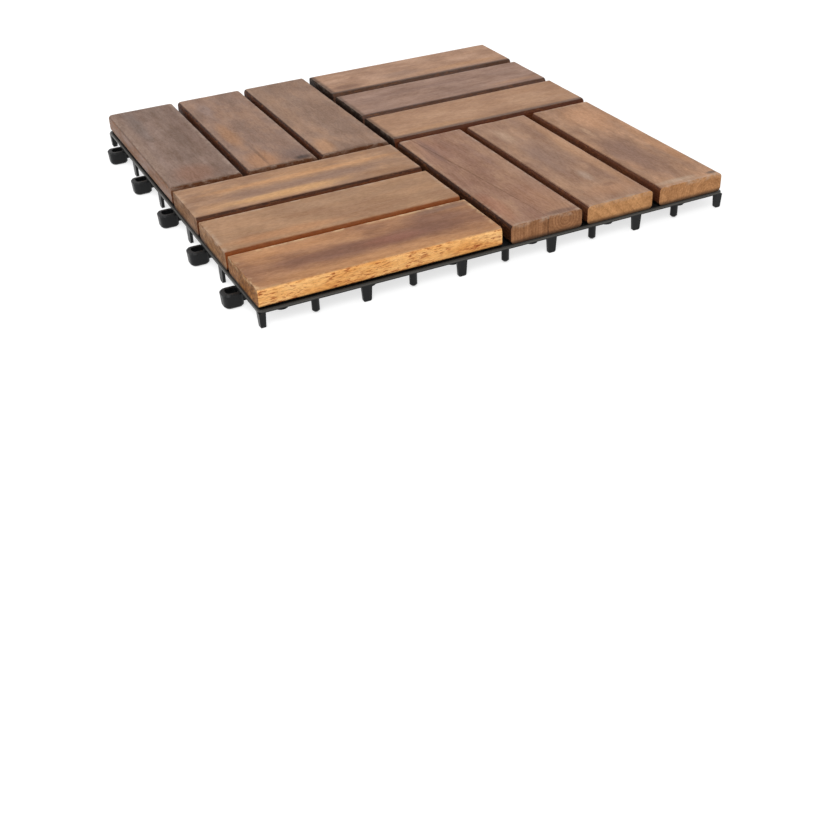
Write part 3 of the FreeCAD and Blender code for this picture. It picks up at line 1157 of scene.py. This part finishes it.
@dataclass
class Slat:
    """One hardwood bar with rounded edges and a slightly uneven planed surface."""

    node: str
    finish: Timber
    edge_radius: float = 2.5 * MM
    end_radius: float = 1.8 * MM
    edge_steps: int = 6
    end_steps: int = 4
    length_cuts: int = 30
    width_cuts: int = 7
    foot_margin: float = 0.01 * MM
    unevenness: float = 0.22 * MM
    slow_share: float = 0.35
    slow_along: float = 28.0
    slow_across: float = 60.0
    slow_step: float = 9.0
    dent_share: float = 0.9
    dent_waves: float = 160.0
    dent_step: float = 7.0
    low: Vector = field(init=False)
    high: Vector = field(init=False)
    along_x: bool = field(init=False)

    def __post_init__(self) -> None:
        """Reads the slat's place and direction from the frame."""
        self.low, self.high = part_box(self.node)
        size = self.high - self.low
        self.along_x = size.x > size.y

    @property
    def middle(self) -> Vector:
        """The slat's middle."""
        return (self.low + self.high) / 2.0

    @property
    def half(self) -> Vector:
        """Half its length, width and thickness."""
        size = (self.high - self.low) / 2.0
        return size if self.along_x else Vector((size.y, size.x, size.z))

    def blank(self) -> bmesh.types.BMesh:
        """The bar along X about the origin, rounded and cut into a fine mesh.

        Returns:
            The bar.
        """
        half = self.half
        bar = bmesh.new()
        bmesh.ops.create_cube(bar, size=2.0)
        bmesh.ops.scale(bar, vec=half, verts=bar.verts)
        long_edges = [edge for edge in bar.edges if abs(edge.verts[0].co.x - edge.verts[1].co.x) > half.x]
        self.rounded(bar, long_edges, self.edge_radius, self.edge_steps)
        end_edges = [edge for edge in bar.edges
                     if all(abs(abs(vert.co.x) - half.x) < TOUCHING for vert in edge.verts)]
        self.rounded(bar, end_edges, self.end_radius, self.end_steps)
        for step in range(1, self.length_cuts):
            self.cut(bar, 0, half.x * (2.0 * step / self.length_cuts - 1.0))
        for step in range(1, self.width_cuts):
            self.cut(bar, 1, (half.y - self.edge_radius) * (2.0 * step / self.width_cuts - 1.0))
        self.cut(bar, 2, 0.0)
        return bar

    @staticmethod
    def rounded(bar: bmesh.types.BMesh, edges: list[bmesh.types.BMEdge], radius: float, steps: int) -> None:
        """Rounds edges.

        Args:
            bar: The bar.
            edges: The edges.
            radius: The rounding's radius, in metres.
            steps: Number of faces round it.
        """
        bmesh.ops.bevel(bar, geom=edges, offset=radius, offset_type="OFFSET", affect="EDGES", segments=steps,
                        profile=0.5, material=-1, clamp_overlap=True)

    @staticmethod
    def cut(bar: bmesh.types.BMesh, axis: int, place: float) -> None:
        """Adds a row of edges where a plane across an axis crosses the bar.

        Args:
            bar: The bar.
            axis: Number of the axis.
            place: Where the plane is on it, in metres.
        """
        point, direction = Vector(), Vector()
        point[axis] = place
        direction[axis] = 1.0
        everything = bar.verts[:] + bar.edges[:] + bar.faces[:]
        bmesh.ops.bisect_plane(bar, geom=everything, dist=ON_PLANE, plane_co=point, plane_no=direction)

    def widen(self, bar: bmesh.types.BMesh) -> None:
        """Sets the long sides a little off the solid's, as the finish says.

        Args:
            bar: The bar about the origin.
        """
        first, second = self.finish.long_sides
        lower, upper = (first, second) if self.along_x else (-second, -first)
        half_width = self.half.y
        for vert in bar.verts:
            share = 0.5 + 0.5 * vert.co.y / half_width
            vert.co.y += MM * (lower + (upper - lower) * share)

    def roughen(self, bar: bmesh.types.BMesh) -> None:
        """Lowers the surface a little by slow noise, more on the upper edges, and never outward.

        Args:
            bar: The bar about the origin.
        """
        half, seed = self.half, self.finish.seed
        bar.normal_update()
        for vert in bar.verts:
            x, y, z = vert.co
            if z < self.foot_margin - half.z:
                continue
            from_edge = min(half.y - abs(y), half.x - abs(x)) + (half.z - z)
            near_edge = max(0.0, 1.0 - from_edge / (2.0 * self.edge_radius))
            depth = z * self.slow_across + self.slow_step * seed
            level = 0.5 + 0.5 * noise.noise(Vector((x * self.slow_along, y * self.slow_across, depth)))
            fine = Vector((x * self.dent_waves, y * self.dent_waves, self.dent_step * seed))
            dent = max(0.0, noise.noise(fine)) * near_edge
            vert.co -= vert.normal * self.unevenness * (self.slow_share * level + self.dent_share * dent)

    def build(self) -> bpy.types.Object:
        """The slat in its place.

        Returns:
            The object.
        """
        bar = self.blank()
        self.widen(bar)
        self.roughen(bar)
        if not self.along_x:
            turned(bar, bar.verts, 90.0)
        bmesh.ops.translate(bar, verts=bar.verts, vec=self.middle)
        name = f"timber_{self.node}"
        finish = TimberFinish(name, self.finish, self.middle, self.half, self.along_x)
        made = finished_object(name, bar, finish.finished())
        made.modifiers.new("weighted normals", "WEIGHTED_NORMAL")
        return made

    def dress(self) -> bpy.types.Object:
        """Builds the slat and lets it stand for its node.

        Returns:
            The slat.
        """
        made = self.build()
        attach(made, BODY)
        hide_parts(self.node)
        return made


@dataclass
class Base:
    """The moulded grid base, whose node stays and takes the plastic's material."""

    node: str = "base_grid"
    finish: MouldedPlastic = field(default_factory=MouldedPlastic)

    def dress(self) -> bpy.types.Object:
        """Gives the base's node its finish.

        Returns:
            The node.
        """
        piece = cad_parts[self.node]
        material = self.finish.material("moulded_plastic")
        if not piece.material_slots:
            piece.data.materials.append(material)
        for slot in piece.material_slots:
            slot.material = material
        return piece


@dataclass
class Screws:
    """The screws under the slats, with cross recesses in their heads."""

    node: str = "slat_screws"
    head_radius: float = 3.0 * MM
    head_height: float = 2.2 * MM
    head_steps: int = 6
    head_fullness: float = 0.8
    head_rim: float = 0.25
    shank_radius: float = 1.5 * MM
    length: float = 12.0 * MM
    tip_length: float = 2.6 * MM
    recess_reach: float = 1.55 * MM
    recess_width: float = 0.62 * MM
    recess_depth: float = 1.3 * MM
    recess_taper: tuple[float, float, float] = (0.45, 0.7, 1.0)
    turns: int = 28
    sharp_degrees: float = 35.0
    turn_of_each: float = 37.0
    rib_pitch: float = 26.2 * MM
    ribs_out: tuple[int, int] = (1, 5)
    finish: ScrewSteel = field(default_factory=ScrewSteel)

    def head_and_shank(self) -> bmesh.types.BMesh:
        """One screw about the Z axis, head down, its seat at z = 0.

        Returns:
            The screw.
        """
        outline = [(0.0, -self.head_height)]
        for step in range(1, self.head_steps + 1):
            angle = math.radians(90.0 * step / self.head_steps)
            outline.append((self.head_radius * math.sin(angle) ** self.head_fullness,
                            -self.head_height * (self.head_rim + (1.0 - self.head_rim) * math.cos(angle))))
        outline += [(self.head_radius, 0.0), (self.shank_radius, 0.0),
                    (self.shank_radius, self.length - self.tip_length), (0.0, self.length)]
        screw = bmesh.new()
        verts = [screw.verts.new((radius, 0.0, height)) for radius, height in outline]
        edges = [screw.edges.new(pair) for pair in zip(verts, verts[1:])]
        bmesh.ops.spin(screw, geom=verts + edges, cent=ORIGIN, axis=(0.0, 0.0, 1.0),
                       angle=2.0 * math.pi, steps=self.turns, use_merge=True)
        bmesh.ops.remove_doubles(screw, verts=screw.verts, dist=TOUCHING)
        bmesh.ops.recalc_face_normals(screw, faces=screw.faces)
        return screw

    def recess_cutter(self) -> bmesh.types.BMesh:
        """Two crossed tapered blades that cut the recess.

        Returns:
            The blades.
        """
        cutter = bmesh.new()
        size = (self.recess_reach, self.recess_width, self.recess_depth)
        for degrees in (0.0, 90.0):
            blade = bmesh.ops.create_cube(cutter, size=2.0)["verts"]
            bmesh.ops.scale(cutter, vec=size, verts=blade)
            inner = [vert for vert in blade if vert.co.z > 0.0]
            bmesh.ops.scale(cutter, vec=self.recess_taper, verts=inner)
            turned(cutter, blade, degrees)
        bmesh.ops.translate(cutter, verts=cutter.verts, vec=(0.0, 0.0, -self.head_height))
        return cutter

    def single(self) -> bpy.types.Mesh:
        """One finished screw, its recess cut.

        Returns:
            The screw's mesh.
        """
        material = bpy.data.materials.new("scratch")
        body = finished_object("screw_body", self.head_and_shank(), material)
        tool = finished_object("screw_tool", self.recess_cutter(), material)
        cut = body.modifiers.new("recess", "BOOLEAN")
        cut.operation = "DIFFERENCE"
        cut.object = tool
        cut.solver = "EXACT"
        cut.use_self = True
        bpy.context.view_layer.update()
        mesh = bpy.data.meshes.new_from_object(body.evaluated_get(bpy.context.evaluated_depsgraph_get()))
        for piece in (body, tool):
            bpy.data.objects.remove(piece)
        bpy.data.materials.remove(material)
        return mesh

    def places(self, slats: list[Slat]) -> list[Vector]:
        """Where the screws' seats are.

        Args:
            slats: All the slats.

        Returns:
            One point for each screw.
        """
        low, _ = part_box(self.node)
        seat = low.z + self.head_height
        points = []
        for slat in slats:
            along, across = (0, 1) if slat.along_x else (1, 0)
            sign = 1.0 if slat.middle[along] > 0.0 else -1.0
            row = (2.0 * math.floor(slat.middle[across] / (2.0 * self.rib_pitch)) + 1.0) * self.rib_pitch
            for ribs in self.ribs_out:
                point = Vector((0.0, 0.0, seat))
                point[along] = sign * ribs * self.rib_pitch
                point[across] = row
                points.append(point)
        return points

    def dress(self, slats: list[Slat]) -> bpy.types.Object:
        """Builds all the screws as one piece that stands for their node.

        Args:
            slats: All the slats.

        Returns:
            The screws.
        """
        one = self.single()
        whole = bmesh.new()
        for number, point in enumerate(self.places(slats)):
            start = len(whole.verts)
            whole.from_mesh(one)
            whole.verts.ensure_lookup_table()
            added = whole.verts[start:]
            turned(whole, added, self.turn_of_each * number)
            bmesh.ops.translate(whole, verts=added, vec=point)
        made = finished_object("steel_screws", whole, self.finish.material("screw_steel"))
        made.data.set_sharp_from_angle(angle=math.radians(self.sharp_degrees))
        bpy.data.meshes.remove(one)
        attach(made, BODY)
        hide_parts(self.node)
        return made


# Stage

class Lamp(Enum):
    """The soft lamps, as name, place in metres, size in metres and power in watts."""

    KEY = ("key_lamp", (-0.9, -1.5, 1.9), 1.4, 30.0)
    SIDE = ("side_lamp", (-1.8, 0.6, 1.2), 1.2, 10.0)


@dataclass
class Studio:
    """Pale floor, white surroundings, lamps and the camera."""

    floor_half: float = 6.0
    floor_colour: Colour = (0.80, 0.80, 0.80)
    floor_glow: float = 0.72
    floor_seen: Colour = (0.50, 0.50, 0.50)
    sky_strength: float = 0.50
    sky_seen: float = 1.0
    camera_place: tuple[float, float, float] = (-0.3182, -0.6936, 0.3212)
    camera_turn: tuple[float, float, float] = (56.116, 1.967, -26.474)
    lens: float = 53.55
    sensor: float = 36.0
    nearest_seen: float = 0.01

    @staticmethod
    def looked_at(graph: Graph) -> Value:
        """Whether a surface is seen, also through glass or in a mirror, or only lights the tile.

        Args:
            graph: The material's or world's graph.

        Returns:
            One where it is seen.
        """
        path = graph.outputs(graph.node("ShaderNodeLightPath"))
        seen = graph.math("MAXIMUM", path["Is Camera Ray"], path["Is Glossy Ray"])
        return graph.math("MAXIMUM", seen, path["Is Transmission Ray"])

    def floor(self) -> None:
        """The floor, white where it is seen unshaded and clear from below."""
        material = bpy.data.materials.new("studio_floor")
        material.use_nodes = True
        graph = Graph(material.node_tree)
        plain = graph.result("ShaderNodeBsdfDiffuse", self.floor_colour)
        seen = graph.result("ShaderNodeBsdfDiffuse", self.floor_seen)
        glow = graph.result("ShaderNodeEmission", WHITE, self.floor_glow)
        bright = graph.result("ShaderNodeAddShader", seen, glow)
        upper = graph.result("ShaderNodeMixShader", self.looked_at(graph), plain, bright)
        clear = graph.result("ShaderNodeBsdfTransparent")
        below = graph.outputs(graph.node("ShaderNodeNewGeometry"))["Backfacing"]
        graph.node("ShaderNodeOutputMaterial", graph.result("ShaderNodeMixShader", below, upper, clear))
        sheet = bmesh.new()
        bmesh.ops.create_grid(sheet, x_segments=1, y_segments=1, size=self.floor_half)
        finished_object("studio_floor", sheet, material, smooth=False)

    def sky(self) -> None:
        """White surroundings, plain to the lamps' light and full white where they are seen."""
        world = bpy.data.worlds.new("studio_sky")
        world.use_nodes = True
        graph = Graph(world.node_tree)
        light = graph.result("ShaderNodeBackground", WHITE, self.sky_strength)
        seen = graph.result("ShaderNodeBackground", WHITE, self.sky_seen)
        whole = graph.result("ShaderNodeMixShader", self.looked_at(graph), light, seen)
        graph.node("ShaderNodeOutputWorld", whole)
        bpy.context.scene.world = world

    def lamps(self) -> None:
        """Soft square lamps that look at the tile."""
        for lamp in Lamp:
            name, place, size, power = lamp.value
            data = bpy.data.lights.new(name, "AREA")
            data.shape = "SQUARE"
            data.size = size
            data.energy = power
            made = bpy.data.objects.new(name, data)
            made.location = place
            made.rotation_euler = (-Vector(place)).to_track_quat("-Z", "Y").to_euler()
            bpy.context.scene.collection.objects.link(made)

    def camera(self) -> None:
        """The camera, at the photograph's viewing angle."""
        data = bpy.data.cameras.new("main_camera")
        data.lens = self.lens
        data.sensor_width = self.sensor
        data.sensor_fit = "HORIZONTAL"
        data.clip_start = self.nearest_seen
        made = bpy.data.objects.new("main_camera", data)
        made.location = self.camera_place
        made.rotation_euler = Euler([math.radians(angle) for angle in self.camera_turn], "XYZ")
        bpy.context.scene.collection.objects.link(made)
        bpy.context.scene.camera = made

    def dress(self) -> None:
        """Sets up the whole stage."""
        bpy.context.scene.view_settings.view_transform = "Standard"
        self.floor()
        self.sky()
        self.lamps()
        self.camera()


def main() -> None:
    """Builds the tile and its stage, and reports each piece."""
    logging.basicConfig(level=logging.INFO, format="%(name)s: %(message)s")
    Studio().dress()
    slats = [Slat(node, finish) for node, finish in SLAT_FINISHES.items()]
    pieces = [slat.dress() for slat in slats] + [Base().dress(), Screws().dress(slats)]
    for piece in pieces:
        LOG.info("%s: %d faces", piece.name, len(piece.data.polygons))


if __name__ == "__main__":
    main()
